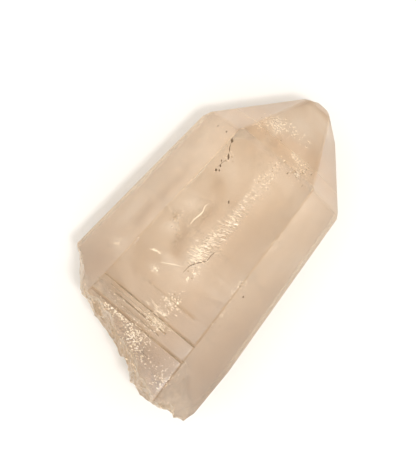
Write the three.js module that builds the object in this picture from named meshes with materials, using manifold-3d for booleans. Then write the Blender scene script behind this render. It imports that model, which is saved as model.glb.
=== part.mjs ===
// A single quartz crystal, lying on one of its prism faces: a tapered six-sided prism, a point of six
// rhombohedral faces and a broken base. Millimetres, +Z up, the long axis of the crystal along +Y with the
// point at +Y. The origin is under the middle of the crystal, on the surface that it lies on.
import * as THREE from "three";
import { mergeVertices } from "three/addons/utils/BufferGeometryUtils.js";
import Module from "manifold-3d";

const wasm = await Module();
wasm.setup();
const { degToRad } = THREE.MathUtils;

// Angles that every quartz crystal has, between the outward normals of its faces.
const PRISM_TURN = degToRad(60);
const PRISM_TO_POINT = degToRad(38.2);

// Driving dimensions. The long axis is y, and z is measured from it until the crystal is set down.
const SHOULDER_Y = 16.9; // about where the prism ends and the point begins
const SIDE_REACH = 14.8; // from the long axis to a side face, at the shoulder
const TOP_REACH = 13.3; // from the long axis to the uppermost face, at the shoulder
const REST_REACH = 12.6; // from the long axis to the face it lies on
const SIDE_TAPER = degToRad(4);
const TOP_TAPER = degToRad(3.2);
const EDGE_WEAR = 0.12; // depth that handling has worn off each edge
const BLANK = 100; // block that the crystal is cleaved from
const CLEAVER = 200; // what is taken off beyond each face

// The six prism faces, by their turns about the long axis from straight up towards +X. Each ends where a
// face of the point starts, and no two of those start level, as on a crystal that grew crowded. The lower
// one on the +X side leans in below a place near the base, as far as it leans out above it.
const LEANS_IN = { turn: 2, y: -17.5 };
const PRISM_FACES = [
  { turn: 0, reach: TOP_REACH, taper: TOP_TAPER, end: SHOULDER_Y + 2.9 },
  { turn: 1, reach: SIDE_REACH - 0.1, taper: SIDE_TAPER, end: SHOULDER_Y + 2.3 },
  { turn: 2, reach: SIDE_REACH + 0.2, taper: SIDE_TAPER, end: SHOULDER_Y + 1.4 },
  { turn: 3, reach: REST_REACH, taper: 0, end: SHOULDER_Y + 2.3 },
  { turn: 4, reach: SIDE_REACH - 0.2, taper: SIDE_TAPER, end: SHOULDER_Y - 0.3 },
  { turn: 5, reach: SIDE_REACH + 0.1, taper: SIDE_TAPER, end: SHOULDER_Y + 2 },
];

// Small faces that blunt the point, and one on the +X shoulder: the way each looks and a place on it.
const TIP_FACES = [
  { looks: [0.03, 1, 0.1], at: [0.3, 33.8, 0] },
  { looks: [-0.41, 0.91, 0.05], at: [-1.6, 33.4, 0] },
  { looks: [0.46, 0.89, -0.05], at: [2, 33.2, 0] },
  { looks: [0.605, 0.796, 0.04], at: [4.4, 31.6, 0] },
];
const SHOULDER_FACE = { looks: [0.86, 0.507, 0.06], at: [16.5, 19, 0] };

const ALONG = new THREE.Vector3(0, 1, 0);
const ONE = new THREE.Vector3(1, 1, 1);

// Repeatable scatter: a number between two limits for each call.
let seed = 7;
function scatter(low, high) {
  seed = (seed * 16807) % 2147483647;
  return low + ((high - low) * seed) / 2147483647;
}

// A closed three.js geometry as a solid that can be cut and joined.
function solidOf(geometry, matrix) {
  const bare = new THREE.BufferGeometry();
  bare.setAttribute("position", geometry.getAttribute("position").clone());
  if (geometry.index) bare.setIndex(geometry.index.clone());
  const merged = mergeVertices(bare.applyMatrix4(matrix), 1e-4);
  const vertProperties = new Float32Array(merged.getAttribute("position").array);
  const triVerts = new Uint32Array(merged.index.array);
  return new wasm.Manifold(new wasm.Mesh({ numProp: 3, vertProperties, triVerts }));
}

// A solid back as a three.js geometry.
function geometryOf(solid) {
  const { vertProperties, triVerts } = solid.getMesh();
  const geometry = new THREE.BufferGeometry();
  geometry.setAttribute("position", new THREE.BufferAttribute(vertProperties, 3));
  geometry.setIndex(new THREE.BufferAttribute(triVerts, 1));
  geometry.computeVertexNormals();
  return geometry;
}

function plane(normal, point) {
  return new THREE.Plane().setFromNormalAndCoplanarPoint(normal.clone().normalize(), point);
}

// Takes off everything outside a plane, as a cleaver would.
function cleave(body, { normal, constant }) {
  const turn = new THREE.Quaternion().setFromUnitVectors(new THREE.Vector3(0, 0, 1), normal);
  const middle = normal.clone().multiplyScalar(CLEAVER / 2 - constant);
  const place = new THREE.Matrix4().compose(middle, turn, ONE);
  return body.subtract(solidOf(new THREE.BoxGeometry(CLEAVER, CLEAVER, CLEAVER), place));
}

// Takes a small angular bite out of the crystal.
function bite(body, shape, middle, size) {
  const tumble = new THREE.Euler(scatter(0, 6), scatter(0, 6), scatter(0, 6));
  const turn = new THREE.Quaternion().setFromEuler(tumble);
  const place = new THREE.Matrix4().compose(middle, turn, ONE.clone().multiplyScalar(size));
  return body.subtract(solidOf(shape, place));
}

// Outward direction of a prism face, square to the long axis.
function outward(turn) {
  return new THREE.Vector3(Math.sin(turn * PRISM_TURN), 0, Math.cos(turn * PRISM_TURN));
}

// Distance from the long axis to a prism face, at a place along it.
function reachAt({ reach, taper }, y) {
  return reach - (y - SHOULDER_Y) * Math.tan(taper);
}

function prismPlane(face) {
  const out = outward(face.turn);
  const normal = out.clone().multiplyScalar(Math.cos(face.taper));
  normal.addScaledVector(ALONG, Math.sin(face.taper));
  return plane(normal, out.multiplyScalar(face.reach).setY(SHOULDER_Y));
}

// The face of the point that rises where a prism face ends.
function pointPlane(face) {
  const out = outward(face.turn);
  const normal = out.clone().multiplyScalar(Math.cos(PRISM_TO_POINT));
  normal.addScaledVector(ALONG, Math.sin(PRISM_TO_POINT));
  return plane(normal, out.multiplyScalar(reachAt(face, face.end)).setY(face.end));
}

// The narrow flat that wear leaves along the edge between two faces.
function wornEdge(a, b, depth) {
  const cosine = a.normal.dot(b.normal);
  const share = (own, other) => (cosine * other - own) / (1 - cosine * cosine);
  const onEdge = a.normal.clone().multiplyScalar(share(a.constant, b.constant));
  onEdge.addScaledVector(b.normal, share(b.constant, a.constant));
  const normal = a.normal.clone().add(b.normal).normalize();
  return plane(normal, onEdge.addScaledVector(normal, -depth));
}

const prism = PRISM_FACES.map(prismPlane);
const point = PRISM_FACES.map(pointPlane);

// The crystal as it grew: the prism, its point and the worn edges.
function grownCrystal() {
  let body = solidOf(new THREE.BoxGeometry(BLANK, BLANK, BLANK), new THREE.Matrix4());
  for (const face of [...prism, ...point]) body = cleave(body, face);
  const { turn, reach, taper } = PRISM_FACES[LEANS_IN.turn];
  const leaning = 2 * reachAt({ reach, taper }, LEANS_IN.y) - reach;
  body = cleave(body, prismPlane({ turn, reach: leaning, taper: -taper }));
  prism.forEach((face, i) => {
    const next = (i + 1) % prism.length;
    body = cleave(body, wornEdge(face, prism[next], EDGE_WEAR));
    body = cleave(body, wornEdge(point[i], point[next], EDGE_WEAR));
    body = cleave(body, wornEdge(face, point[i], EDGE_WEAR / 2));
  });
  const small = [SHOULDER_FACE, ...TIP_FACES].map(({ looks, at }) => {
    return plane(new THREE.Vector3(...looks), new THREE.Vector3(...at));
  });
  for (const face of small) body = cleave(body, face);
  const [, tip] = small;
  for (const face of point) body = cleave(body, wornEdge(face, tip, 3 * EDGE_WEAR));
  return body;
}

// The break at the base: its outline seen from above, as places across and along the crystal, from which
// the rough surface slopes back to the uppermost face and to the face that the crystal lies on. It has
// shell-shaped hollows in it and low splinters on it.
const BREAK_OUTLINE = [
  [-27, -17], [-20.2, -18.2], [-19.4, -19.4], [-17.6, -20.5], [-13.6, -25.5], [-12.8, -26.1],
  [-8, -27.5], [-4, -28.7], [0, -30], [1, -30.5], [3.2, -30.9], [5.8, -33],
  [8, -33.3], [11.2, -33.8], [13.6, -33.5], [15.2, -32.6], [17.6, -32.9], [19.4, -32.5],
  [20.4, -28.5], [27, -27],
];
const BREAK_SLOPES = { up: 0.14, down: 0.3, crest: -1 };
const CREST_CALM = { least: 0.3, within: 5 }; // the hollows and splinters fade out towards the crest
const SHELLS = [
  { x: -5, z: 13, radius: 8, depth: 1.5 },
  { x: 5, z: 15, radius: 6, depth: 1.4 },
  { x: 11.5, z: 8, radius: 5, depth: 1.2 },
  { x: -13, z: 8, radius: 6, depth: 0.9 },
  { x: 1, z: 1, radius: 7, depth: 1 },
  { x: 8, z: -6, radius: 8, depth: 1.5 },
  { x: -9, z: -5, radius: 8, depth: 1.3 },
  { x: -2, z: -12, radius: 7, depth: 1.4 },
];
const SPLINTERS = Array.from({ length: 190 }, () => ({
  x: scatter(-23, 24),
  z: scatter(-15, 18),
  rise: scatter(0, 1.1),
  lean: [scatter(-0.5, 0.5), scatter(-0.5, 0.5)],
}));
const SPLINTER_SLOPE = 0.55;
const BREAK_BOX = { x: 54, z: 42, cellsX: 48, cellsZ: 38, jitter: 0.3 };

// How far along the long axis the break lies, at a place across the crystal.
function breakY(x, z) {
  const after = BREAK_OUTLINE.findIndex(([knot]) => knot >= x);
  const [[x0, y0], [x1, y1]] = BREAK_OUTLINE.slice(Math.max(after, 1) - 1, Math.max(after, 1) + 1);
  const outline = y0 + ((x - x0) * (y1 - y0)) / (x1 - x0);
  const rise = z - BREAK_SLOPES.crest;
  const slope = rise > 0 ? rise * BREAK_SLOPES.up : -rise * BREAK_SLOPES.down;
  const hollows = SHELLS.map((shell) => {
    const share = Math.hypot(x - shell.x, z - shell.z) / shell.radius;
    return shell.depth * Math.max(0, 1 - share * share);
  });
  const splinters = SPLINTERS.map((splinter) => {
    const [dx, dz] = [x - splinter.x, z - splinter.z];
    const lean = splinter.lean[0] * dx + splinter.lean[1] * dz;
    return splinter.rise + lean - SPLINTER_SLOPE * (Math.abs(dx) + Math.abs(dz));
  });
  const calm = Math.max(CREST_CALM.least, Math.min(1, Math.abs(rise) / CREST_CALM.within));
  return outline + slope + calm * (Math.max(...hollows) - Math.max(...splinters));
}

function brokenBase(body) {
  const { x, z, cellsX, cellsZ, jitter } = BREAK_BOX;
  const beyond = new THREE.BoxGeometry(x, BLANK, z, cellsX, 1, cellsZ);
  const corners = beyond.getAttribute("position");
  for (let i = 0; i < corners.count; i++) {
    const [cx, cy, cz] = [corners.getX(i), corners.getY(i), corners.getZ(i)];
    const inside = Math.abs(cx) < x / 2 - 1 && Math.abs(cz) < z / 2 - 1;
    if (cy < 0) corners.setY(i, -BLANK);
    else if (inside) {
      const jx = cx + scatter(-jitter, jitter);
      const jz = cz + scatter(-jitter, jitter);
      corners.setXYZ(i, jx, breakY(jx, jz), jz);
    } else corners.setY(i, breakY(cx, cz));
  }
  return body.subtract(solidOf(beyond, new THREE.Matrix4()));
}

// Ledges: the level steps that quartz leaves across its prism faces as it grows. Each is a shallow notch
// with a long flank towards the point and a short steep one towards the base.
const LEDGE_FLANKS = { long: 0.5, steep: 0.13, clear: 0.4 };
const TOP_LEDGES = [
  { y: -14.7, from: -3.8, to: 7.6, depth: 0.07 },
  { y: -18.8, from: -13, to: 13, depth: 0.26 },
  { y: -19.6, from: -9, to: 5.5, depth: 0.07 },
  { y: -20.4, from: -7.3, to: 5.2, depth: 0.15 },
  { y: -21.4, from: -5, to: 4.4, depth: 0.09 },
  { y: -22.7, from: -13, to: 13, depth: 0.22 },
];
const OTHER_LEDGES = {
  turns: [2, 3, 4],
  each: 6,
  depths: [0.05, 0.15],
  lengths: [4, 14],
  starts: [-9, 2],
  ys: [-26, 12],
};

// The cutter for one ledge. It stands a little clear of the face.
function ledge(face, { y, from, to, depth }) {
  const { long, steep, clear } = LEDGE_FLANKS;
  const profile = new THREE.Shape([
    new THREE.Vector2(0, -depth),
    new THREE.Vector2(long * (1 + clear / depth), clear),
    new THREE.Vector2(-steep * (1 + clear / depth), clear),
  ]);
  const cutter = new THREE.ExtrudeGeometry(profile, { depth: to - from, bevelEnabled: false });
  const out = outward(face.turn);
  const across = new THREE.Vector3().crossVectors(ALONG, out);
  const { normal } = prismPlane(face);
  const along = new THREE.Vector3().crossVectors(normal, across);
  const start = out.multiplyScalar(reachAt(face, y)).setY(y).addScaledVector(across, from);
  return solidOf(cutter, new THREE.Matrix4().makeBasis(along, normal, across).setPosition(start));
}

function ledgedFaces(body) {
  for (const notch of TOP_LEDGES) body = body.subtract(ledge(PRISM_FACES[0], notch));
  for (const turn of OTHER_LEDGES.turns) {
    for (let i = 0; i < OTHER_LEDGES.each; i++) {
      const from = scatter(...OTHER_LEDGES.starts);
      const to = from + scatter(...OTHER_LEDGES.lengths);
      const [y, depth] = [scatter(...OTHER_LEDGES.ys), scatter(...OTHER_LEDGES.depths)];
      body = body.subtract(ledge(PRISM_FACES[turn], { y, from, to, depth }));
    }
  }
  return body;
}

// Chips knocked out of the long edges, by the face before each edge and the place along it, and small
// pits where the uppermost prism face meets the point.
const EDGE_CHIPS = [
  { face: 0, y: -4.2, size: 0.9 },
  { face: 0, y: 7.5, size: 1 },
  { face: 0, y: -12.8, size: 0.7 },
  { face: 0, y: -22.5, size: 1.2 },
  { face: 5, y: -20.5, size: 1.3 },
  { face: 5, y: 6, size: 0.8 },
  { face: 1, y: -7, size: 0.9 },
  { face: 2, y: 3, size: 1 },
  { face: 3, y: -10, size: 0.9 },
  { face: 4, y: 9, size: 0.8 },
];
const PITS = { count: 12, across: [-0.5, 7], along: 1.6, sizes: [0.3, 0.65] };

// The point of an edge between two prism faces, at a place along the crystal.
function edgeAt(a, b, y) {
  const det = a.normal.x * b.normal.z - a.normal.z * b.normal.x;
  const [ra, rb] = [a, b].map((face) => -face.constant - face.normal.y * y);
  const x = (ra * b.normal.z - rb * a.normal.z) / det;
  const z = (a.normal.x * rb - b.normal.x * ra) / det;
  return new THREE.Vector3(x, y, z);
}

function chippedAndPitted(body) {
  const chip = new THREE.DodecahedronGeometry(1);
  for (const { face, y, size } of EDGE_CHIPS) {
    const next = (face + 1) % prism.length;
    const out = prism[face].normal.clone().add(prism[next].normal).normalize();
    const middle = edgeAt(prism[face], prism[next], y).addScaledVector(out, 0.72 * size);
    body = bite(body, chip, middle, size);
  }
  const pit = new THREE.OctahedronGeometry(1);
  const [top] = PRISM_FACES;
  for (let i = 0; i < PITS.count; i++) {
    const y = top.end + scatter(-PITS.along, PITS.along);
    const size = scatter(...PITS.sizes);
    const x = scatter(...PITS.across);
    const height = Math.min(...[prism[0], point[0]].map(({ normal, constant }) => {
      return (-constant - normal.y * y) / normal.z;
    }));
    body = bite(body, pit, new THREE.Vector3(x, y, height + 0.35 * size), size);
  }
  return body;
}

// The one piece, set down so that its box stands over the origin.
function crystalMesh() {
  const geometry = geometryOf(chippedAndPitted(ledgedFaces(brokenBase(grownCrystal()))));
  geometry.computeBoundingBox();
  const { min, max } = geometry.boundingBox;
  const quartz = new THREE.MeshStandardMaterial({ color: 0xdcc2a4, roughness: 0.15, metalness: 0 });
  const crystal = new THREE.Mesh(geometry, quartz);
  crystal.name = "crystal";
  crystal.position.set(-(min.x + max.x) / 2, -(min.y + max.y) / 2, -min.z);
  return crystal;
}

const part = new THREE.Group();
part.add(crystalMesh());
export default part;
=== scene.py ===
"""A natural clear quartz point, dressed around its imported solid.

The crystal lies on a prism face with its long axis along +Y and its point at +Y. Its solid gives the shape;
this adds the fine growth lines, the grain of the broken base and what is caught inside the quartz.
"""

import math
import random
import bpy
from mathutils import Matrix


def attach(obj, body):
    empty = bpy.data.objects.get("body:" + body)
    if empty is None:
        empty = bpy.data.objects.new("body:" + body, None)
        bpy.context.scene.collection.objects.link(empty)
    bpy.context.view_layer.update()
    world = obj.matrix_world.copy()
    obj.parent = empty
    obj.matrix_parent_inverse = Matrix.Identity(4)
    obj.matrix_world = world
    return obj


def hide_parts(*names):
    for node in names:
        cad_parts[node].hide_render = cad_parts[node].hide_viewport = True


bl_info = {
    "name": "Quartz Point",
    "version": (1, 0, 0),
    "blender": (4, 5, 0),
    "location": "View3D > Sidebar > Quartz",
    "description": "Builds a natural quartz crystal with growth lines, healed cracks and a broken base",
    "category": "Add Mesh",
}

import bmesh
import bpy
from mathutils import Euler, Matrix, Vector, noise
from mathutils.bvhtree import BVHTree

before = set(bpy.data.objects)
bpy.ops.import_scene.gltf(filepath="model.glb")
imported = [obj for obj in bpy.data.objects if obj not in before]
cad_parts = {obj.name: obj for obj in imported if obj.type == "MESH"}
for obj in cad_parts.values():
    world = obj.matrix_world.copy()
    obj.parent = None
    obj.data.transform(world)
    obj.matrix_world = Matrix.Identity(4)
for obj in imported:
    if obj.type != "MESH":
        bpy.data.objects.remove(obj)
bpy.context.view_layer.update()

MM = 0.001
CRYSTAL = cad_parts["crystal"]
PRISM_FACES = 6
AXIS = Vector((-0.07 * MM, 0.0, 12.6 * MM))
NO_FACE = 0
BROKEN = PRISM_FACES + 1
DOWN = Vector((0.0, 0.0, -1.0))
ALONG = Vector((0.0, 1.0, 0.0))
PHOTO_SIZE = (416, 473)

QUARTZ_IOR = 1.544
ABSORPTION_COLOUR = "#f0d9c0"
ABSORPTION_DENSITY = 3.5
# Painted shadow: the colour of the dark flecks.
PAINTED_SHADOW_FLAKE = "#ad9275"
THIN_CLAY = "#8a6f52"
ROOM_COLOUR = "#fffbf5"


def linear(hex_colour):
    """An sRGB hex colour as linear red, green and blue."""
    channels = [int(hex_colour[i : i + 2], 16) / 255 for i in (1, 3, 5)]
    return tuple(c / 12.92 if c <= 0.04045 else ((c + 0.055) / 1.055) ** 2.4 for c in channels)


class QuartzSizes(bpy.types.PropertyGroup):
    """Sizes of the fine relief on the crystal."""

    line_gap: bpy.props.FloatProperty(
        name="Growth Line Gap",
        description="Mean distance between the growth lines across the prism faces",
        default=0.42 * MM,
        unit="LENGTH",
    )
    line_depth: bpy.props.FloatProperty(
        name="Growth Line Depth",
        description="Depth of the fine growth lines",
        default=0.009 * MM,
        unit="LENGTH",
    )
    swell_depth: bpy.props.FloatProperty(
        name="Face Swell",
        description="How far the prism faces are from flat over a centimetre",
        default=0.02 * MM,
        unit="LENGTH",
    )
    grain_depth: bpy.props.FloatProperty(
        name="Break Grain",
        description="Height of the grain on the broken base",
        default=0.16 * MM,
        unit="LENGTH",
    )


class QuartzColours(bpy.types.PropertyGroup):
    """Colours of the crystal and of the surface it lies on."""

    quartz: bpy.props.FloatVectorProperty(
        name="Quartz",
        description="Tint of the clear quartz along its middle",
        default=linear("#f5e2c9"),
        subtype="COLOR",
    )
    # Painted light and shade: the point's tint is set to even out how the lamps light the point.
    point: bpy.props.FloatVectorProperty(
        name="Point",
        description="Tint of the clear quartz at its point",
        default=linear("#f3d4b2"),
        subtype="COLOR",
    )
    root: bpy.props.FloatVectorProperty(
        name="Root",
        description="Tint of the clear quartz at its broken base",
        default=linear("#dfc6a8"),
        subtype="COLOR",
    )
    # Cloudy quartz, and the painted light of the pale soft patches, among them the painted sheen along the
    # streak.
    cloud_and_painted_light: bpy.props.FloatVectorProperty(
        name="Cloud",
        description="Tint of the quartz where it is cloudy",
        default=linear("#fdeedb"),
        subtype="COLOR",
    )
    broken: bpy.props.FloatVectorProperty(
        name="Broken",
        description="Tint of the broken base",
        default=linear("#d6c0a2"),
        subtype="COLOR",
    )
    # Painted shade: the tint of the dark soft patches on the upper side.
    painted_shade_tint: bpy.props.FloatVectorProperty(
        name="Painted Shade",
        description="Tint of the quartz where it is darker",
        default=linear("#cdb192"),
        subtype="COLOR",
    )
    # Painted shade at the foot of the ledges.
    ledge_shade: bpy.props.FloatVectorProperty(
        name="Ledge",
        description="Colour of the dirt at the foot of the ledges",
        default=linear("#6f5f4e"),
        subtype="COLOR",
    )
    # Also the colour of the painted shadow lines along a crack and along steps.
    speck: bpy.props.FloatVectorProperty(
        name="Speck",
        description="Colour of the dark specks in the crystal",
        default=linear("#4c3d2f"),
        subtype="COLOR",
    )
    # Also the colour of the painted glints on the flecks and of the painted sheen along the streak.
    veil: bpy.props.FloatVectorProperty(
        name="Veil",
        description="Colour of the pale cracks and veils in the crystal",
        default=linear("#fdebd0"),
        subtype="COLOR",
    )
    floor: bpy.props.FloatVectorProperty(
        name="Floor",
        description="Colour of the surface that the crystal lies on",
        default=linear("#f7f6f4"),
        subtype="COLOR",
    )


def add_node(tree, kind, inputs=None, links=None, **settings):
    """Adds a node, sets its own settings and its inputs, and links other nodes' outputs to its inputs."""
    made = tree.nodes.new(kind)
    for name, value in settings.items():
        setattr(made, name, value)
    for name, value in (inputs or {}).items():
        made.inputs[name].default_value = value
    for name, output in (links or {}).items():
        tree.links.new(output, made.inputs[name])
    return made


def new_material(name):
    """An empty node material and its tree."""
    material = bpy.data.materials.new(name)
    material.use_nodes = True
    material.node_tree.nodes.clear()
    return material, material.node_tree


def clear_quartz(colours):
    """Clear rock crystal, grown: a glassy skin over a slightly hazy body with faint cloudy wisps, more
    frosted towards its point, with painted shade at the foot of the ledges, soft patches of cloud and of
    painted light and shade on its upper side, and less gloss where it is broken."""
    material, tree = new_material("clear_quartz")
    place = add_node(tree, "ShaderNodeTexCoord").outputs["Object"]
    # Wisps about 8 mm across, drawn out by their own swirl.
    wisps = add_node(
        tree,
        "ShaderNodeTexNoise",
        inputs={"Scale": 0.13 / MM, "Detail": 6.0, "Roughness": 0.6, "Distortion": 0.8},
        links={"Vector": place},
    )
    # Soft patches of cloudy quartz and of painted light and shade on the upper side.
    cloud_light_and_shade = add_node(tree, "ShaderNodeAttribute", attribute_name="cloud_light_and_shade").outputs["Fac"]
    haze = add_node(
        tree,
        "ShaderNodeMapRange",
        inputs={"From Min": 0.4, "From Max": 0.7, "To Max": 0.4},
        links={"Value": wisps.outputs["Fac"]},
    )
    cloud_and_painted_light = add_node(
        tree,
        "ShaderNodeMath",
        operation="ADD",
        use_clamp=True,
        links={0: haze.outputs["Result"], 1: cloud_light_and_shade},
    )
    # The dark patches are painted shade.
    painted_shade = add_node(tree, "ShaderNodeMapRange", inputs={"From Max": -1.0}, links={"Value": cloud_light_and_shade})
    broken = add_node(tree, "ShaderNodeAttribute", attribute_name="broken").outputs["Fac"]
    ledge_shade = add_node(tree, "ShaderNodeAttribute", attribute_name="ledge_shade").outputs["Fac"]
    ledge_painted_shade = add_node(tree, "ShaderNodeMath", operation="POWER", inputs={1: 2.0}, links={0: ledge_shade})
    parts = add_node(tree, "ShaderNodeSeparateXYZ", links={"Vector": place})
    # The tint and the frosting change along the crystal, from its base to its point: the tint is darker
    # towards the base, and at the point it is a painted tint that evens out how the lamps light the point.
    from_base = add_node(
        tree,
        "ShaderNodeMapRange",
        inputs={"From Min": -32.0 * MM, "From Max": -6.0 * MM},
        links={"Value": parts.outputs["Y"]},
    )
    clean = add_node(
        tree,
        "ShaderNodeMix",
        data_type="RGBA",
        inputs={6: (*colours.root, 1.0), 7: (*colours.quartz, 1.0)},
        links={0: from_base.outputs["Result"]},
    )
    tip = add_node(
        tree,
        "ShaderNodeMapRange",
        inputs={"From Min": 17.0 * MM, "From Max": 24.0 * MM},
        links={"Value": parts.outputs["Y"]},
    )
    along_tint = add_node(
        tree,
        "ShaderNodeMix",
        data_type="RGBA",
        inputs={7: (*colours.point, 1.0)},
        links={0: tip.outputs["Result"], 6: clean.outputs[2]},
    )
    painted_shade_mix = add_node(
        tree,
        "ShaderNodeMix",
        data_type="RGBA",
        inputs={7: (*colours.painted_shade_tint, 1.0)},
        links={0: painted_shade.outputs["Result"], 6: along_tint.outputs[2]},
    )
    body = add_node(
        tree,
        "ShaderNodeMix",
        data_type="RGBA",
        inputs={7: (*colours.cloud_and_painted_light, 1.0)},
        links={0: cloud_and_painted_light.outputs["Value"], 6: painted_shade_mix.outputs[2]},
    )
    dull = add_node(
        tree,
        "ShaderNodeMix",
        data_type="RGBA",
        inputs={7: (*colours.broken, 1.0)},
        links={0: broken, 6: body.outputs[2]},
    )
    # Painted shade darkens the quartz at the foot of the ledges.
    tint = add_node(
        tree,
        "ShaderNodeMix",
        data_type="RGBA",
        inputs={7: (*colours.ledge_shade, 1.0)},
        links={0: ledge_painted_shade.outputs["Value"], 6: dull.outputs[2]},
    )
    clear = add_node(
        tree,
        "ShaderNodeMapRange",
        inputs={"To Min": 0.9, "To Max": 0.6},
        links={"Value": cloud_and_painted_light.outputs["Value"]},
    )
    dulled = add_node(
        tree,
        "ShaderNodeMath",
        operation="MAXIMUM",
        links={0: broken, 1: ledge_painted_shade.outputs["Value"]},
    )
    glassy = add_node(
        tree,
        "ShaderNodeMath",
        operation="SUBTRACT",
        inputs={0: 1.0},
        links={1: dulled.outputs["Value"]},
    )
    share = add_node(
        tree,
        "ShaderNodeMapRange",
        inputs={"To Min": 0.82, "To Max": 1.0},
        links={"Value": glassy.outputs["Value"]},
    )
    clarity = add_node(
        tree,
        "ShaderNodeMath",
        operation="MULTIPLY",
        links={0: clear.outputs["Result"], 1: share.outputs["Result"]},
    )
    roughness = add_node(
        tree,
        "ShaderNodeMapRange",
        inputs={"To Min": 0.2, "To Max": 0.3},
        links={"Value": tip.outputs["Result"]},
    )
    skin = add_node(
        tree,
        "ShaderNodeMapRange",
        inputs={"To Min": 0.3, "To Max": 0.5},
        links={"Value": glassy.outputs["Value"]},
    )
    quartz = add_node(
        tree,
        "ShaderNodeBsdfPrincipled",
        inputs={"IOR": QUARTZ_IOR, "Coat Roughness": 0.06, "Coat IOR": QUARTZ_IOR},
        links={
            "Base Color": tint.outputs[2],
            "Transmission Weight": clarity.outputs["Value"],
            "Roughness": roughness.outputs["Result"],
            "Coat Weight": skin.outputs["Result"],
        },
    )
    depth = add_node(
        tree,
        "ShaderNodeVolumeAbsorption",
        inputs={"Color": (*linear(ABSORPTION_COLOUR), 1.0), "Density": ABSORPTION_DENSITY},
    )
    add_node(
        tree,
        "ShaderNodeOutputMaterial",
        links={"Surface": quartz.outputs["BSDF"], "Volume": depth.outputs["Volume"]},
    )
    return material


def crack_veil_and_painted_sheen(colours):
    """A healed crack in quartz, grown over: a pale film of tiny bubbles, thin and streaky, with fine pale
    lines across it that are painted glints; where it lies under the streak it is a painted sheen."""
    material, tree = new_material("crack_veil_and_painted_sheen")
    place = add_node(tree, "ShaderNodeTexCoord").outputs["Object"]
    # Streaks about 0.4 mm apart and 3 mm long, turned 20 degrees from square across the crystal.
    lines = add_node(
        tree,
        "ShaderNodeMapping",
        vector_type="TEXTURE",
        inputs={"Rotation": (0.0, 0.0, math.radians(20)), "Scale": (3.0 * MM, 0.4 * MM, 3.0 * MM)},
        links={"Vector": place},
    )
    streaks = add_node(
        tree,
        "ShaderNodeTexNoise",
        inputs={"Scale": 1.0, "Detail": 3.0, "Roughness": 0.6},
        links={"Vector": lines.outputs["Vector"]},
    )
    edge = add_node(tree, "ShaderNodeAttribute", attribute_name="fade").outputs["Fac"]
    film = add_node(
        tree,
        "ShaderNodeMapRange",
        inputs={"From Min": 0.4, "From Max": 0.6, "To Min": 0.1, "To Max": 1.0},
        links={"Value": streaks.outputs["Fac"]},
    )
    streaky = add_node(tree, "ShaderNodeAttribute", attribute_name="lines").outputs["Fac"]
    cover = add_node(
        tree,
        "ShaderNodeMix",
        inputs={2: 1.0},
        links={0: streaky, 3: film.outputs["Result"]},
    )
    alpha = add_node(
        tree,
        "ShaderNodeMath",
        operation="MULTIPLY",
        links={0: cover.outputs[0], 1: edge},
    )
    veil = add_node(
        tree,
        "ShaderNodeBsdfPrincipled",
        inputs={"Base Color": (*colours.veil, 1.0), "Roughness": 0.35},
        links={"Alpha": alpha.outputs["Value"]},
    )
    add_node(tree, "ShaderNodeOutputMaterial", links={"Surface": veil.outputs["BSDF"]})
    return material


def painted_glint_flake(colours):
    """Tiny air-filled flakes and etched points at the skin of the quartz, painted as glints and shadows:
    most are pale painted glints, some go dark as painted shadows.
    """
    material, tree = new_material("painted_glint_flake")
    glint_and_shadow = add_node(tree, "ShaderNodeAttribute", attribute_name="glint_and_shadow").outputs["Fac"]
    tint = add_node(
        tree,
        "ShaderNodeMix",
        data_type="RGBA",
        inputs={6: (*linear(PAINTED_SHADOW_FLAKE), 1.0), 7: (*colours.veil, 1.0)},
        links={0: glint_and_shadow},
    )
    flake = add_node(
        tree,
        "ShaderNodeBsdfPrincipled",
        inputs={"Roughness": 0.2},
        links={"Base Color": tint.outputs[2]},
    )
    add_node(tree, "ShaderNodeOutputMaterial", links={"Surface": flake.outputs["BSDF"]})
    return material


def clay_speck_and_painted_shadow(colours):
    """Specks of clay and iron that the quartz grew round: dull, nearly black, browner where thin. The same
    material paints thin shadow lines along a crack and along steps.
    """
    material, tree = new_material("clay_speck_and_painted_shadow")
    place = add_node(tree, "ShaderNodeTexCoord").outputs["Object"]
    # Grains about 0.15 mm across.
    grain = add_node(
        tree,
        "ShaderNodeTexNoise",
        inputs={"Scale": 6.0 / MM, "Detail": 2.0},
        links={"Vector": place},
    )
    tint = add_node(
        tree,
        "ShaderNodeMix",
        data_type="RGBA",
        inputs={6: (*colours.speck, 1.0), 7: (*linear(THIN_CLAY), 1.0)},
        links={0: grain.outputs["Fac"]},
    )
    speck = add_node(
        tree,
        "ShaderNodeBsdfPrincipled",
        inputs={"Roughness": 0.8},
        links={"Base Color": tint.outputs[2]},
    )
    add_node(tree, "ShaderNodeOutputMaterial", links={"Surface": speck.outputs["BSDF"]})
    return material


# How squarely a facet of a prism face or of the break faces outwards, and where the break ends along Y.
PRISM_FACING = 0.96
BREAK_FACING = 0.9
BREAK_SLOPE = -0.3
BREAK_END = -14 * MM
# A ledge is a long hollow edge that runs across the crystal, on its upper side.
LEDGE_LENGTH = 2.0 * MM
LEDGE_RUN = 0.98
LEDGE_TILT = 0.3


def outward(turn):
    """Outward direction of a prism face, square to the long axis."""
    angle = math.radians(360 / PRISM_FACES * turn)
    return Vector((math.sin(angle), 0.0, math.cos(angle)))


def face_kind(face):
    """Which prism face a facet belongs to, counted from 1, or whether it is part of the break."""
    facing = [face.normal.dot(outward(turn)) for turn in range(PRISM_FACES)]
    best = max(facing)
    if best > PRISM_FACING:
        return 1 + facing.index(best)
    sloped = face.normal.y < BREAK_SLOPE and best < BREAK_FACING
    if sloped and face.calc_center_median().y < BREAK_END:
        return BROKEN
    return NO_FACE


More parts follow.
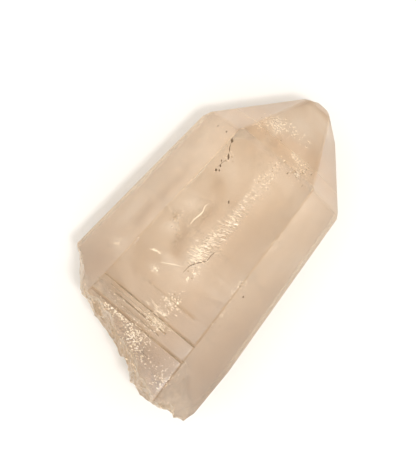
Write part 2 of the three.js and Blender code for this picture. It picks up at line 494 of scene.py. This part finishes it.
def mark_ledges(shape):
    """Gives each point at the foot of an upper ledge how sharply the quartz turns there, from 0 to 1, as
    the strength of the painted shade there.
    """
    ledge_shade = shape.verts.layers.float.new("ledge_shade")
    for edge in shape.edges:
        if edge.is_convex or edge.calc_length() < LEDGE_LENGTH:
            continue
        run = (edge.verts[1].co - edge.verts[0].co).normalized()
        if abs(run.x) < LEDGE_RUN or min(face.normal.z for face in edge.link_faces) < LEDGE_TILT:
            continue
        sharp = min(1.0, edge.calc_face_angle() / math.radians(90))
        for vert in edge.verts:
            vert[ledge_shade] = max(vert[ledge_shade], sharp)
    return ledge_shade


def ledge_shade_share(x, y):
    """How much painted shade lies along a ledge at (x, y) in millimetres: it comes and goes, and thins out
    towards the edges of the face."""
    patchy = 0.85 + 0.6 * noise.noise(Vector((0.25 * x, 1.7 * y, 0.0)))
    return max(0.0, min(1.0, patchy)) * (1.0 - 0.55 * min(1.0, abs(x) / 12.0) ** 3)


# Soft patches on the upper side, partly cloudy quartz and partly painted light and shade: painted sheen
# along the streak, painted light and shade at the point, and painted shade along the left ridge, on the
# right face and near the base. Each gives, in millimetres across and along the crystal, its middle, reach
# both ways, and how pale the quartz is there, or how dark if below 0.
CLOUD_LIGHT_AND_SHADE_PATCHES = (
    ((-7.4, 2.2), (1.8, 2.6), 0.45),
    ((-7.4, -4.0), (1.2, 1.6), 0.55),
    ((-3.2, -9.2), (2.0, 1.0), 0.45),
    ((-5.0, 12.0), (2.0, 2.0), 0.2),
    ((-0.1, -5.6), (1.4, 1.8), 0.45),
    ((0.7, 10.0), (1.2, 4.5), 0.12),
    ((-1.0, 17.5), (3.0, 3.0), 0.15),
    ((-4.4, 23.6), (2.6, 1.6), 0.45),
    ((-0.3, 26.6), (4.5, 3.0), 0.35),
    ((1.3, 29.6), (4.0, 3.0), 0.35),
    ((-13.4, -13.1), (0.9, 1.0), 0.5),
    ((-4.7, -12.3), (1.1, 0.6), 0.4),
    ((-3.3, 2.0), (0.8, 2.4), -0.5),
    ((-4.4, -4.9), (1.0, 2.2), -0.5),
    ((-3.2, -6.9), (0.8, 1.2), -0.5),
    ((-5.6, 7.9), (1.0, 1.8), -0.4),
    ((-1.2, 7.0), (0.4, 1.0), -0.7),
    ((5.6, 2.0), (2.6, 9.0), -0.4),
    ((-7.9, -2.0), (0.5, 1.6), -0.4),
    ((-13.1, -6.7), (0.9, 1.8), -0.7),
    ((-13.0, -3.8), (0.9, 1.8), -0.7),
    ((-12.6, 0.3), (0.9, 2.0), -0.7),
    ((-12.2, 4.0), (0.8, 2.2), -0.6),
    ((-9.2, 19.4), (0.8, 1.6), -0.7),
    ((-14.0, -18.0), (2.4, 2.4), -0.6),
    ((15.5, -3.0), (3.0, 6.0), -0.4),
    ((16.0, -12.5), (3.0, 6.0), -0.6),
    ((17.3, -20.5), (3.0, 4.0), -0.3),
    ((-9.2, 25.2), (3.0, 2.5), -0.1),
    ((-12.2, 22.0), (2.5, 2.5), -0.1),
    ((10.6, 23.1), (2.0, 4.0), -0.15),
    ((6.5, -13.5), (4.0, 4.0), -0.15),
    ((4.5, 21.5), (2.6, 1.6), 0.35),
    ((1.0, 2.0), (2.0, 6.0), -0.1),
    ((-1.0, -14.0), (4.0, 4.0), 0.15),
    ((3.5, -26.5), (4.0, 2.5), -0.6),
    ((-4.0, -25.0), (3.5, 1.5), -0.4),
    ((9.5, -28.5), (3.0, 2.5), -0.6),
    ((6.0, -25.0), (3.5, 2.5), -0.35),
    ((3.0, 16.0), (5.0, 4.0), 0.2),
)


def cloud_light_and_shade_at(x, y):
    """How pale or dark the upper side is at (x, y) in millimetres, from cloud and from painted light and
    shade.
    """
    return sum(
        strength * math.exp(-(((x - middle[0]) / reach[0]) ** 2) - ((y - middle[1]) / reach[1]) ** 2)
        for middle, reach, strength in CLOUD_LIGHT_AND_SHADE_PATCHES
    )


# Cuts that the relief and the soft patches need, in millimetres: how far the columns reach to each side of
# a prism face, their gaps on the upper and lower faces, where the growth lines start and end along the
# crystal, and the gap between the cuts of the point.
COLUMN_REACH = 10.4
UPPER_COLUMN_GAP = 0.8
LOWER_COLUMN_GAP = 2.6
LINES_START = -33.0
LINES_END = 21.0
POINT_CUT_GAP = 1.2
# Soft patches of cloud and of painted light and shade show where a facet faces up by this much.
UPPER_SIDE = 0.1
# Waves per millimetre of the coarsest grain on the break.
GRAIN_WAVES = 1.4


def cut_across(shape, kind, kinds, place, direction):
    """Cuts the facets of some kinds along a plane, without changing their shape."""
    faces = [face for face in shape.faces if face[kind] in kinds]
    edges = {edge for face in faces for edge in face.edges}
    verts = {vert for face in faces for vert in face.verts}
    bmesh.ops.bisect_plane(
        shape,
        geom=faces + list(edges) + list(verts),
        dist=0.002 * MM,
        plane_co=place,
        plane_no=direction,
    )


def growth_relief(turn, point, sizes):
    """How far the growth lines and the swell of a prism face move a point of it outwards."""
    across = ALONG.cross(outward(turn))
    u = (point - AXIS).dot(across) / MM
    y = point.y / MM
    # Lines are drawn out across the face, steps more coarsely, and the swell is even both ways.
    line = noise.noise(Vector((0.11 * u, 2.3 * y, 9.1 * turn)))
    step = noise.noise(Vector((0.06 * u + 40.0, 0.45 * y, 5.7 * turn)))
    swell = noise.noise(Vector((0.07 * u, 0.07 * y + 20.0, 3.3 * turn)))
    return sizes.line_depth * (line + 1.3 * step) + sizes.swell_depth * swell


def crystal_mesh(sizes):
    """The solid's own shape with fine growth lines on its prism faces and grain on its break."""
    shape = bmesh.new()
    shape.from_mesh(CRYSTAL.data)
    bmesh.ops.remove_doubles(shape, verts=shape.verts, dist=0.001 * MM)
    bmesh.ops.dissolve_limit(
        shape, angle_limit=math.radians(0.3), verts=shape.verts, edges=shape.edges
    )
    kind = shape.faces.layers.int.new("kind")
    for face in shape.faces:
        face.smooth = False
        face[kind] = face_kind(face)
    ledge_shade = mark_ledges(shape)
    prism = range(1, PRISM_FACES + 1)
    spread = random.Random(3)
    for turn in range(PRISM_FACES):
        across = ALONG.cross(outward(turn))
        gap = UPPER_COLUMN_GAP if outward(turn).z > 0 else LOWER_COLUMN_GAP
        for column in range(round(-COLUMN_REACH / gap), round(COLUMN_REACH / gap) + 1):
            offset = (column + spread.uniform(-0.3, 0.3)) * gap * MM
            cut_across(shape, kind, {turn + 1}, AXIS + offset * across, across)
    y = LINES_START * MM
    while y < LINES_END * MM:
        cut_across(shape, kind, prism, Vector((0.0, y, 0.0)), ALONG)
        y += sizes.line_gap * spread.uniform(0.5, 1.6)
    sideways = Vector((1.0, 0.0, 0.0))
    for step in range(-14, 15):
        cut_across(shape, kind, {NO_FACE}, POINT_CUT_GAP * step * MM * sideways, sideways)
    for step in range(12, 28):
        cut_across(shape, kind, {NO_FACE}, POINT_CUT_GAP * step * MM * ALONG, ALONG)
    rough = [edge for edge in shape.edges if all(face[kind] == BROKEN for face in edge.link_faces)]
    bmesh.ops.subdivide_edges(shape, edges=rough, cuts=2, use_grid_fill=True)
    bmesh.ops.triangulate(shape, faces=shape.faces)
    broken = shape.verts.layers.float.new("broken")
    cloud_light_and_shade = shape.verts.layers.float.new("cloud_light_and_shade")
    shape.normal_update()
    moves = []
    for vert in shape.verts:
        kinds = {face[kind] for face in vert.link_faces}
        # Paints the soft patches of cloud and of painted light and shade on the upper side.
        if vert.normal.z > UPPER_SIDE:
            vert[cloud_light_and_shade] = cloud_light_and_shade_at(vert.co.x / MM, vert.co.y / MM)
        vert[broken] = 1.0 if BROKEN in kinds else 0.0
        # The painted shade along the ledges comes and goes and thins out towards the edges of the face.
        vert[ledge_shade] *= ledge_shade_share(vert.co.x / MM, vert.co.y / MM)
        if len(kinds) > 1:
            continue
        (own,) = kinds
        if own in prism:
            turn = own - 1
            moves.append((vert, growth_relief(turn, vert.co, sizes) * outward(turn)))
        elif own == BROKEN:
            grain = noise.fractal(vert.co * GRAIN_WAVES / MM, 0.8, 2.0, 4)
            moves.append((vert, -sizes.grain_depth * max(0.0, 0.5 + grain) * vert.normal))
    for vert, move in moves:
        vert.co += move
    mesh = bpy.data.meshes.new("quartz_crystal")
    shape.to_mesh(mesh)
    shape.free()
    if "custom_normal" in mesh.attributes:
        mesh.attributes.remove(mesh.attributes["custom_normal"])
    return mesh


def place_piece(name, shape, material):
    """A finished piece that rides with the crystal and takes its finish, from a bmesh or a mesh."""
    if isinstance(shape, bmesh.types.BMesh):
        mesh = bpy.data.meshes.new(name)
        shape.to_mesh(mesh)
        shape.free()
    else:
        mesh = shape
    mesh.materials.append(material)
    piece = bpy.data.objects.new(name, mesh)
    bpy.context.scene.collection.objects.link(piece)
    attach(piece, "root")
    return piece


class QUARTZ_OT_crystal(bpy.types.Operator):
    """Builds the crystal itself, in place of its plain solid"""

    bl_idname = "quartz.crystal"
    bl_label = "Crystal"

    def execute(self, context):
        material = clear_quartz(context.scene.quartz_colours)
        piece = place_piece("quartz_crystal", crystal_mesh(context.scene.quartz_sizes), material)
        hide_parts("crystal")
        return {"FINISHED"}


def crystal_surface(context):
    """The finished surface of the crystal, to set other pieces on or under it."""
    return BVHTree.FromObject(bpy.data.objects["quartz_crystal"], context.evaluated_depsgraph_get())


def top_at(surface, x, y):
    """The place on the upper side of the crystal at (x, y) in millimetres, and the way it faces."""
    place, facing, _, _ = surface.ray_cast(Vector((x * MM, y * MM, 1.0)), DOWN)
    return place, facing


# Flecks on the upper side, painted glints and painted shadows, the long thin ones turned 20 degrees being
# painted glints across the streak. In millimetres across and along the crystal: the middle of each cluster,
# how far it spreads both ways, how many flecks it has, their mean length and width, their turn in degrees,
# and the share of them that is dark painted shadow.
FLECK_CLUSTERS = (
    ((2.3, -15.2), (0.9, 1.1), 120, (0.3, 0.18), 0, 0.2),
    ((1.4, -17.8), (1.3, 0.4), 44, (1.2, 0.1), 0, 0.1),
    ((2.0, -19.9), (1.5, 0.6), 180, (0.32, 0.16), 0, 0.2),
    ((1.3, -24.3), (1.6, 1.2), 250, (0.3, 0.18), 0, 0.3),
    ((-4.2, -23.5), (2.0, 0.35), 70, (0.4, 0.2), 0, 0.2),
    ((-4.6, -21.2), (1.5, 0.5), 12, (0.3, 0.17), 0, 0.3),
    ((9.8, -27.4), (1.4, 1.5), 110, (0.3, 0.18), 0, 0.45),
    ((4.6, -26.6), (2.0, 0.8), 60, (0.3, 0.18), 0, 0.4),
    ((-4.4, 23.9), (1.5, 0.9), 110, (0.3, 0.19), 0, 0.15),
    ((-7.6, 22.2), (0.9, 0.6), 34, (0.34, 0.2), 0, 0.1),
    ((2.4, 21.6), (0.8, 0.4), 30, (0.34, 0.22), 0, 0.1),
    ((4.9, 19.9), (0.9, 1.0), 70, (0.3, 0.2), 0, 0.3),
    ((0.9, 17.4), (0.6, 1.1), 50, (0.3, 0.2), 0, 0.2),
    ((0.7, 14.2), (0.9, 0.8), 46, (0.3, 0.2), 0, 0.2),
    ((-6.4, -9.4), (0.7, 0.15), 12, (0.5, 0.19), 20, 0.1),
    ((-4.6, -12.3), (0.6, 0.3), 26, (0.3, 0.2), 0, 0.0),
    ((-13.4, -13.1), (0.5, 0.5), 18, (0.3, 0.2), 0, 0.0),
    ((1.7, -9.8), (0.25, 0.35), 14, (0.3, 0.22), 0, 0.1),
    ((1.9, -7.6), (0.8, 0.9), 50, (0.3, 0.19), 0, 0.25),
    ((-1.6, 25.6), (2.2, 0.8), 40, (0.34, 0.18), 40, 0.1),
    ((0.2, -4.9), (0.8, 0.9), 80, (0.9, 0.11), 20, 0.0),
    ((0.5, -1.2), (0.8, 1.6), 80, (0.8, 0.11), 20, 0.0),
    ((0.9, 4.5), (0.7, 2.6), 80, (0.7, 0.11), 20, 0.0),
    ((0.8, 10.5), (0.6, 2.2), 50, (0.6, 0.1), 20, 0.0),
    ((-7.6, -1.6), (0.4, 1.3), 14, (0.5, 0.14), 70, 0.15),
    ((-7.3, 13.0), (0.5, 1.2), 12, (0.35, 0.19), 0, 0.3),
    ((10.2, -4.9), (0.5, 1.6), 34, (0.35, 0.22), 80, 0.3),
    ((11.2, -10.5), (0.4, 1.4), 24, (0.35, 0.22), 80, 0.3),
    ((10.3, 6.6), (0.4, 1.3), 20, (0.35, 0.22), 80, 0.3),
)
# Pale cracks that reach the upper side, painted pale as the light their edges catch: their places across
# and along the crystal, and width, in millimetres.
PALE_LINES = (
    (((-4.85, -1.3), (-4.85, -0.1), (-4.55, 1.3), (-4.5, 2.1), (-4.9, 3.1), (-4.6, 4.1)), 0.24),
    (((-4.6, -10.6), (-3.4, -9.9), (-2.2, -9.2), (-0.6, -8.5)), 0.16),
    (((-7.9, -9.9), (-6.8, -9.6), (-5.6, -9.0)), 0.15),
)
# The flecks on the break are painted glints of its grain.
BREAK_FLECKS = 300
BREAK_FLECK_ACROSS = (-16, 18)
BREAK_FLECK_HEIGHTS = (1, 27)
BREAK_FLECK_FACING = -0.4
PAINTED_SHADOW_TONES = (0.0, 0.4)
PAINTED_GLINT_TONES = (0.7, 1.0)
BREAK_GLINT_TONES = (0.45, 1.0)
LINE_GLINT_TONE = 0.7
BREAK_FLECK_SIZE = (0.6, 0.3)
SHEET_THICKNESS = 0.02 * MM


def add_fleck(shape, glint_and_shadow, place, facing, size, degrees, shade, spread):
    """One small blunt flake, half sunk in the surface, drawn out one way and leaning a little."""
    length, width = size
    turn_round = math.radians(degrees) + spread.gauss(0.0, 0.2)
    lean = Euler((spread.uniform(-0.3, 0.3), spread.uniform(-0.1, 0.1), turn_round))
    turn = facing.to_track_quat("Z", "Y") @ lean.to_quaternion()
    scale = Vector((length, width, min(length, width))) * MM * spread.uniform(0.6, 1.4)
    made = bmesh.ops.create_cone(
        shape,
        cap_ends=True,
        segments=5,
        radius1=0.5,
        radius2=0.4,
        depth=0.4,
        matrix=Matrix.LocRotScale(place, turn, scale),
    )
    for vert in made["verts"]:
        vert[glint_and_shadow] = shade


def along_line(line, share):
    """The place some share of the way along a line of knots."""
    reach = share * (len(line) - 1)
    knot = min(int(reach), len(line) - 2)
    return Vector(line[knot]).lerp(Vector(line[knot + 1]), reach - knot)


def add_ribbon(shape, surface, line, width):
    """A thin tapered strip that lies half sunk in the upper side along a line, in millimetres."""
    sheet = bmesh.ops.create_grid(shape, x_segments=24, y_segments=1, size=1.0)
    for vert in sheet["verts"]:
        share, side = (vert.co.x + 1) / 2, vert.co.y / 2
        x, y = along_line(line, share)
        run = Vector(line[-1]) - Vector(line[0])
        wide = width * math.sin(math.pi * (0.1 + 0.85 * share)) * side / run.length
        top, _ = top_at(surface, x + wide * run.y, y - wide * run.x)
        vert.co = top - 0.6 * SHEET_THICKNESS * DOWN
    faces = list({face for vert in sheet["verts"] for face in vert.link_faces})
    made = bmesh.ops.solidify(shape, geom=faces, thickness=SHEET_THICKNESS)
    return sheet["verts"] + [item for item in made["geom"] if isinstance(item, bmesh.types.BMVert)]


class QUARTZ_OT_flecks(bpy.types.Operator):
    """Sets the small flecks of painted glint and painted shadow, and the pale crack lines, at the surface
    of the crystal
    """

    bl_idname = "quartz.flecks"
    bl_label = "Flecks"

    def execute(self, context):
        surface = crystal_surface(context)
        spread = random.Random(11)
        shape = bmesh.new()
        glint_and_shadow = shape.verts.layers.float.new("glint_and_shadow")
        for (x, y), (across, along), count, size, degrees, painted_shade in FLECK_CLUSTERS:
            for _ in range(count):
                place, facing = top_at(surface, spread.gauss(x, across), spread.gauss(y, along))
                shades = PAINTED_SHADOW_TONES if spread.random() < painted_shade else PAINTED_GLINT_TONES
                shade = spread.uniform(*shades)
                if place:
                    add_fleck(shape, glint_and_shadow, place, facing, size, degrees, shade, spread)
        for line, width in PALE_LINES:
            for vert in add_ribbon(shape, surface, line, width):
                vert[glint_and_shadow] = LINE_GLINT_TONE
        for _ in range(BREAK_FLECKS):
            x = spread.uniform(*BREAK_FLECK_ACROSS)
            z = spread.uniform(*BREAK_FLECK_HEIGHTS)
            place, facing, _, _ = surface.ray_cast(Vector((x * MM, -1.0, z * MM)), ALONG)
            shade = spread.uniform(*BREAK_GLINT_TONES)
            if place and facing.y < BREAK_FLECK_FACING:
                add_fleck(shape, glint_and_shadow, place, facing, BREAK_FLECK_SIZE, 0, shade, spread)
        bmesh.ops.recalc_face_normals(shape, faces=shape.faces)
        place_piece("painted_glint_flecks", shape, painted_glint_flake(context.scene.quartz_colours))
        return {"FINISHED"}


# Pale veils under the upper side, the first of them a painted sheen along the middle of the upper face: the
# line that bounds each on its -X side and the one on its +X side, in millimetres, how deep each end lies,
# how dense it is, and how much of it is in fine lines.
VEILS = (
    {
        "left": ((-1.0, -8.2), (-1.8, -6.2), (-1.4, -0.8), (-0.9, 5.0), (-0.6, 10.4), (0.2, 13.9)),
        "right": ((0.3, -7.8), (2.3, -4.7), (2.5, -0.8), (2.6, 3.2), (2.5, 7.8), (2.0, 13.1)),
        "depths": (0.25, 1.0),
        "density": 0.5,
        "lines": 1.0,
    },
    {
        "left": ((-9.4, -1.7), (-7.6, -3.4), (-5.7, -4.9), (-4.9, -7.4)),
        "right": ((-8.4, -0.9), (-6.6, -2.6), (-4.7, -3.9), (-3.9, -6.8)),
        "depths": (0.4, 0.8),
        "density": 0.5,
        "lines": 1.0,
    },
    {
        "left": ((-7.6, 3.6), (-6.9, -2.4), (-4.6, -7.6)),
        "right": ((-3.4, 5.2), (-2.6, -1.0), (-1.2, -7.4)),
        "depths": (2.5, 4.5),
        "density": 0.2,
        "lines": 0.2,
    },
    {
        "left": ((-6.4, 23.4), (-5.2, 18.4), (-3.6, 14.2)),
        "right": ((-3.0, 24.2), (-0.4, 19.4), (0.8, 14.6)),
        "depths": (1.5, 1.0),
        "density": 0.25,
        "lines": 0.2,
    },
)
VEIL_STEPS = (56, 12)


def add_veil(shape, fade, lines, surface, veil):
    """One thin rippled sheet between two lines, at its depth under the surface."""
    steps_along, steps_across = VEIL_STEPS
    sheet = bmesh.ops.create_grid(shape, x_segments=steps_along, y_segments=steps_across, size=1.0)
    for vert in sheet["verts"]:
        share, side = (vert.co.x + 1) / 2, (vert.co.y + 1) / 2
        x, y = along_line(veil["left"], share).lerp(along_line(veil["right"], share), side)
        start, end = veil["depths"]
        depth = start + (end - start) * share + 0.12 * noise.noise(Vector((0.9 * x, 2.2 * y, start)))
        top, _ = top_at(surface, x, y)
        vert.co = top + depth * MM * DOWN
        ragged = 0.8 + 0.9 * noise.noise(Vector((1.1 * x, 0.9 * y, 3.0 * start)))
        ends = min(1.0, 9 * share + 0.35) * (1 - share) ** 0.5
        sides = min(1.0, 2 * side) * min(1.0, 6 * (1 - side))
        vert[fade] = veil["density"] * ends * sides * max(0.0, ragged)
        vert[lines] = veil["lines"]
    faces = list({face for vert in sheet["verts"] for face in vert.link_faces})
    bmesh.ops.solidify(shape, geom=faces, thickness=SHEET_THICKNESS)


class QUARTZ_OT_veils(bpy.types.Operator):
    """Hangs the pale cracks and veils inside the crystal, the first of them a painted sheen"""

    bl_idname = "quartz.veils"
    bl_label = "Veils"

    def execute(self, context):
        surface = crystal_surface(context)
        shape = bmesh.new()
        fade = shape.verts.layers.float.new("fade")
        lines = shape.verts.layers.float.new("lines")
        for veil in VEILS:
            add_veil(shape, fade, lines, surface, veil)
        bmesh.ops.recalc_face_normals(shape, faces=shape.faces)
        place_piece("crack_veils_and_painted_sheen", shape, crack_veil_and_painted_sheen(context.scene.quartz_colours))
        return {"FINISHED"}


# Dark specks at the surface: place across and along the crystal, and width and length, in millimetres.
SPECKS = (
    (-8.98, 16.16, 0.55, 0.85),
    (-7.5, 13.3, 0.4, 1.3),
    (-7.73, 9.84, 0.5, 0.55),
    (-7.6, 11.0, 0.32, 0.65),
    (-7.2, 10.2, 0.28, 0.45),
    (-8.3, 14.6, 0.2, 0.9),
    (-8.1, 11.9, 0.24, 0.5),
    (-10.97, 16.94, 0.42, 0.45),
    (-13.1, 16.9, 0.3, 0.35),
    (-1.9, 6.7, 0.3, 0.7),
    (12.0, -5.5, 0.35, 0.5),
)
SPECK_TURN = math.radians(40)
# Painted shadow lines on the upper side, thin dark strips along the lip of the largest crack and along
# steps: their places across and along the crystal, and width, in millimetres.
DARK_LINES = (
    (((0.1, -9.2), (0.2, -7.6), (0.9, -6.3), (2.2, -4.75), (2.1, -3.3), (2.4, -1.9)), 0.16),
    (((-8.9, 15.8), (-8.5, 14.9), (-7.9, 14.0)), 0.1),
    (((-7.5, 12.7), (-7.7, 11.8), (-7.9, 10.3)), 0.08),
    (((2.9, -25.85), (4.5, -26.0), (6.1, -26.15)), 0.1),
    (((-7.0, -20.38), (-2.6, -20.42), (2.6, -20.4), (5.2, -20.38)), 0.1),
)


class QUARTZ_OT_specks(bpy.types.Operator):
    """Sets the dark specks, and the painted shadow lines along a crack and along steps, at the surface of
    the crystal
    """

    bl_idname = "quartz.specks"
    bl_label = "Specks"

    def execute(self, context):
        surface = crystal_surface(context)
        spread = random.Random(5)
        shape = bmesh.new()
        for x, y, width, length in SPECKS:
            top, _ = top_at(surface, x, y)
            turn = Euler((0.0, 0.0, SPECK_TURN)).to_quaternion()
            scale = Vector((width, length, 0.4 * width)) * MM / 2
            place = Matrix.LocRotScale(top, turn, scale)
            made = bmesh.ops.create_icosphere(shape, subdivisions=2, radius=1.0)
            for vert in made["verts"]:
                vert.co *= spread.uniform(0.7, 1.15)
            bmesh.ops.transform(shape, matrix=place, verts=made["verts"])
        for line, width in DARK_LINES:
            add_ribbon(shape, surface, line, width)
        bmesh.ops.recalc_face_normals(shape, faces=shape.faces)
        place_piece("dark_specks_and_painted_shadow_lines", shape, clay_speck_and_painted_shadow(context.scene.quartz_colours))
        return {"FINISHED"}


# The floor lies just under the crystal, so that no face of it is in the floor.
FLOOR_HALF = 2.0
FLOOR_DROP = 0.03 * MM
# Each light: its place, what it is aimed at and its size, in metres, and its power in watts.
LIGHTS = {
    "key": ((0.15, 0.0, 0.8), (0, 0, 0), (0.09, 0.09), 2.1),
    "strip": ((0.003, 0.064, 0.527), (0.001, 0.0025, 0.027), (0.008, 0.05), 0.002),
}
ROOM_STRENGTH = 1.02
# The camera looks straight down: its place over the crystal, the height of the crystal's axis, its
# distance from that, and the size of one pixel of the photo there, in millimetres.
VIEW_CENTRE = (-0.69, -0.94)
VIEW_HEIGHT = 12.6
VIEW_DISTANCE = 350.0
PIXEL = 0.2
VIEW_TURN = math.radians(40.0)
SENSOR = 36.0


def add_light(name, place, aim, size, power):
    """A rectangular light of a size, aimed at a point."""
    light = bpy.data.lights.new(name, "AREA")
    light.shape = "RECTANGLE"
    light.size, light.size_y = size
    light.energy = power
    lamp = bpy.data.objects.new(name, light)
    lamp.location = place
    lamp.rotation_euler = (Vector(aim) - Vector(place)).to_track_quat("-Z", "Y").to_euler()
    bpy.context.scene.collection.objects.link(lamp)
    return lamp


class QUARTZ_OT_stage(bpy.types.Operator):
    """Lays the pale floor and sets the lights and the camera"""

    bl_idname = "quartz.stage"
    bl_label = "Stage"

    def execute(self, context):
        scene = context.scene
        scene.view_settings.view_transform = "Standard"
        shape = bmesh.new()
        bmesh.ops.create_grid(shape, x_segments=1, y_segments=1, size=FLOOR_HALF)
        bmesh.ops.translate(shape, verts=shape.verts, vec=(0.0, 0.0, -FLOOR_DROP))
        mesh = bpy.data.meshes.new("floor")
        shape.to_mesh(mesh)
        shape.free()
        material, tree = new_material("pale_matt_floor")
        paint = add_node(
            tree,
            "ShaderNodeBsdfPrincipled",
            inputs={"Base Color": (*scene.quartz_colours.floor, 1.0), "Roughness": 0.9},
        )
        add_node(tree, "ShaderNodeOutputMaterial", links={"Surface": paint.outputs["BSDF"]})
        mesh.materials.append(material)
        floor = bpy.data.objects.new("floor", mesh)
        scene.collection.objects.link(floor)

        world = bpy.data.worlds.new("soft_room")
        world.use_nodes = True
        background = world.node_tree.nodes["Background"]
        background.inputs["Color"].default_value = (*linear(ROOM_COLOUR), 1.0)
        background.inputs["Strength"].default_value = ROOM_STRENGTH
        scene.world = world
        for name, (place, aim, size, power) in LIGHTS.items():
            add_light(name, place, aim, size, power)

        lens = bpy.data.cameras.new("camera")
        lens.sensor_width = SENSOR
        lens.lens = SENSOR * VIEW_DISTANCE / (PIXEL * PHOTO_SIZE[1])
        lens.clip_start = 0.01
        camera = bpy.data.objects.new("camera", lens)
        camera.location = Vector((*VIEW_CENTRE, VIEW_HEIGHT + VIEW_DISTANCE)) * MM
        camera.rotation_euler = (0.0, 0.0, VIEW_TURN)
        scene.collection.objects.link(camera)
        scene.camera = camera
        return {"FINISHED"}


class QUARTZ_PT_panel(bpy.types.Panel):
    """Lists the pieces of the crystal"""

    bl_label = "Quartz Point"
    bl_idname = "QUARTZ_PT_panel"
    bl_space_type = "VIEW_3D"
    bl_region_type = "UI"
    bl_category = "Quartz"

    def draw(self, context):
        for operator in OPERATORS:
            self.layout.operator(operator.bl_idname)
        for group in (context.scene.quartz_sizes, context.scene.quartz_colours):
            for name in group.bl_rna.properties.keys():
                if name not in {"rna_type", "name"}:
                    self.layout.prop(group, name)


OPERATORS = (QUARTZ_OT_crystal, QUARTZ_OT_flecks, QUARTZ_OT_veils, QUARTZ_OT_specks, QUARTZ_OT_stage)
CLASSES = (QuartzSizes, QuartzColours, *OPERATORS, QUARTZ_PT_panel)


def register():
    for cls in CLASSES:
        bpy.utils.register_class(cls)
    bpy.types.Scene.quartz_sizes = bpy.props.PointerProperty(type=QuartzSizes)
    bpy.types.Scene.quartz_colours = bpy.props.PointerProperty(type=QuartzColours)


def unregister():
    del bpy.types.Scene.quartz_colours
    del bpy.types.Scene.quartz_sizes
    for cls in reversed(CLASSES):
        bpy.utils.unregister_class(cls)


def main():
    register()
    bpy.ops.quartz.crystal()
    bpy.ops.quartz.flecks()
    bpy.ops.quartz.veils()
    bpy.ops.quartz.specks()
    bpy.ops.quartz.stage()


if __name__ == "__main__":
    main()
